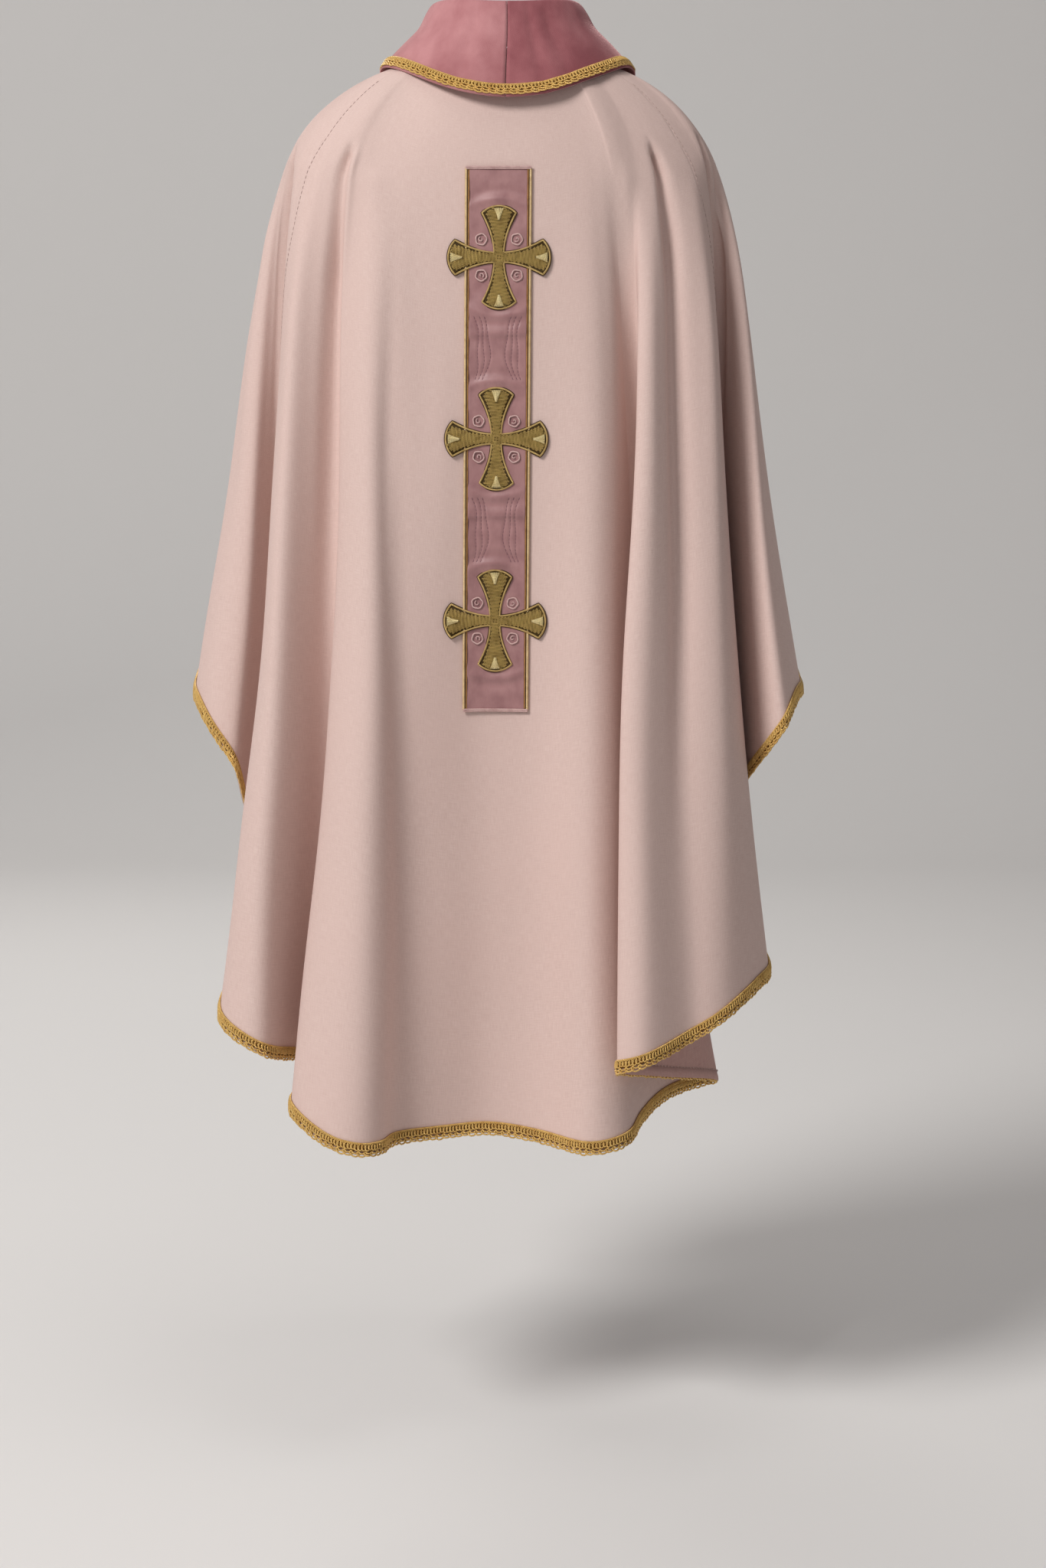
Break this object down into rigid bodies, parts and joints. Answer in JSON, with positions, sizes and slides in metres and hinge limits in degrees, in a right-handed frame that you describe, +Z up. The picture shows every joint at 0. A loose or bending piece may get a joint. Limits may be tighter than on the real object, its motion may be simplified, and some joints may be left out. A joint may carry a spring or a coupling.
{
  "type": "chasuble",
  "caption": "Sleeveless liturgical outer vestment, draped as worn with the arms lowered, with a fold-over velvet collar, gold hem braid and a back band of padded crosses.",
  "frame": {"origin": "middle of the neck opening, level with the tops of the shoulders, where the wearer's shoulders carry the vestment", "axes": "+Z up; -Y is the garment's back, the side with the crosses; +Y is the wearer's front; +X is to the right as the back is seen"},
  "size_m": [0.7077, 0.5712, 1.2695],
  "materials": {
    "rose_cloth": "matte pale rose wool-blend twill",
    "rose_velvet": "dusty rose velvet with a short nap",
    "gold_braid": "looped gold gimp braid",
    "gold_cord": "cream-gold couched cord",
    "mauve_satin": "dusty mauve satin with tone-on-tone stitching",
    "pale_thread": "pale pink satin stitch",
    "gold_thread": "olive-gold metallic embroidery"
  },
  "bodies": {
    "root": {"back_panel": "rose_cloth", "front_panel": "rose_cloth", "collar_left": "rose_velvet", "collar_right": "rose_velvet", "collar_braid": "gold_braid", "hem_braid_back": "gold_braid", "hem_braid_front": "gold_braid", "orphrey_band": "mauve_satin", "band_cord_left": "gold_cord", "band_cord_right": "gold_cord", "band_stitch_top": "pale_thread", "band_stitch_bottom": "pale_thread", "cross_top": "gold_thread", "ring_top_1": "pale_thread", "ring_top_2": "pale_thread", "ring_top_3": "pale_thread", "ring_top_4": "pale_thread", "cross_middle": "gold_thread", "ring_middle_1": "pale_thread", "ring_middle_2": "pale_thread", "ring_middle_3": "pale_thread", "ring_middle_4": "pale_thread", "cross_bottom": "gold_thread", "ring_bottom_1": "pale_thread", "ring_bottom_2": "pale_thread", "ring_bottom_3": "pale_thread", "ring_bottom_4": "pale_thread"}
  },
  "joints": []
}
